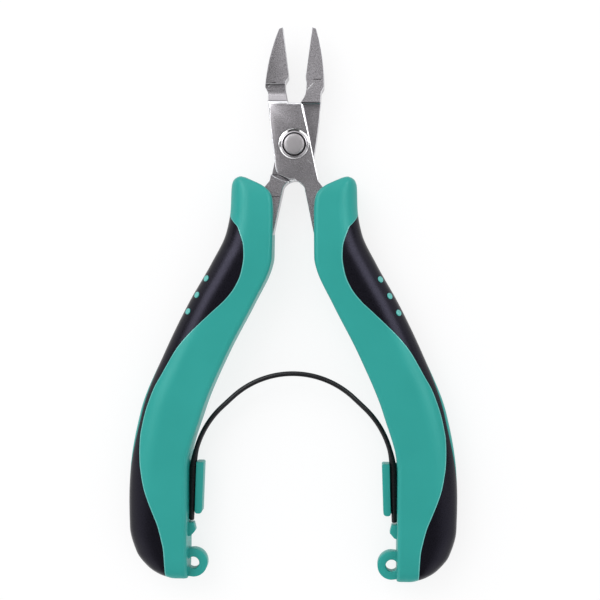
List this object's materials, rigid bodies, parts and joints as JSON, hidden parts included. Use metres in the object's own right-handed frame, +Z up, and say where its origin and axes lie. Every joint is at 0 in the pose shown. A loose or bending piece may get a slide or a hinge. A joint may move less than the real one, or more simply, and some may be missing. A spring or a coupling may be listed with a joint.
{
  "type": "flat nose pliers",
  "caption": "Small lap-joint pliers with slim smooth flat jaws, green and black moulded grips, lanyard eyes and a bow spring of round wire that holds them open.",
  "frame": {"origin": "centre of the open pliers' box on the surface they lie on", "axes": "+Y towards the jaw tips, +Z up out of the front face, the pivot axis is parallel to Z"},
  "size_m": [0.0792, 0.132, 0.0116],
  "materials": {
    "satin_steel": "fine satin, bright bevels",
    "pin_steel": "finely turned",
    "polished_steel": "polished",
    "green_plastic": "satin moulded",
    "black_rubber": "soft satin",
    "black_wire": "blackened spring wire"
  },
  "bodies": {
    "left_side": {"back_half": "satin_steel", "pivot_pin": "pin_steel", "pivot_ring": "polished_steel", "left_grip_core": "green_plastic", "left_grip_pad": "black_rubber", "return_spring": "black_wire"},
    "right_side": {"front_half": "satin_steel", "right_grip_core": "green_plastic", "right_grip_pad": "black_rubber"}
  },
  "joints": [
    {"name": "handle_pivot", "type": "hinge", "parent": "left_side", "child": "right_side", "pos_m": [0, 0.0381, 0.0058], "axis": [0, 0, -1], "range_deg": [0, 14.2], "stiffness_Nm_per_rad": 1.2, "springref_deg": -7.16, "deforming": ["return_spring"]}
  ]
}
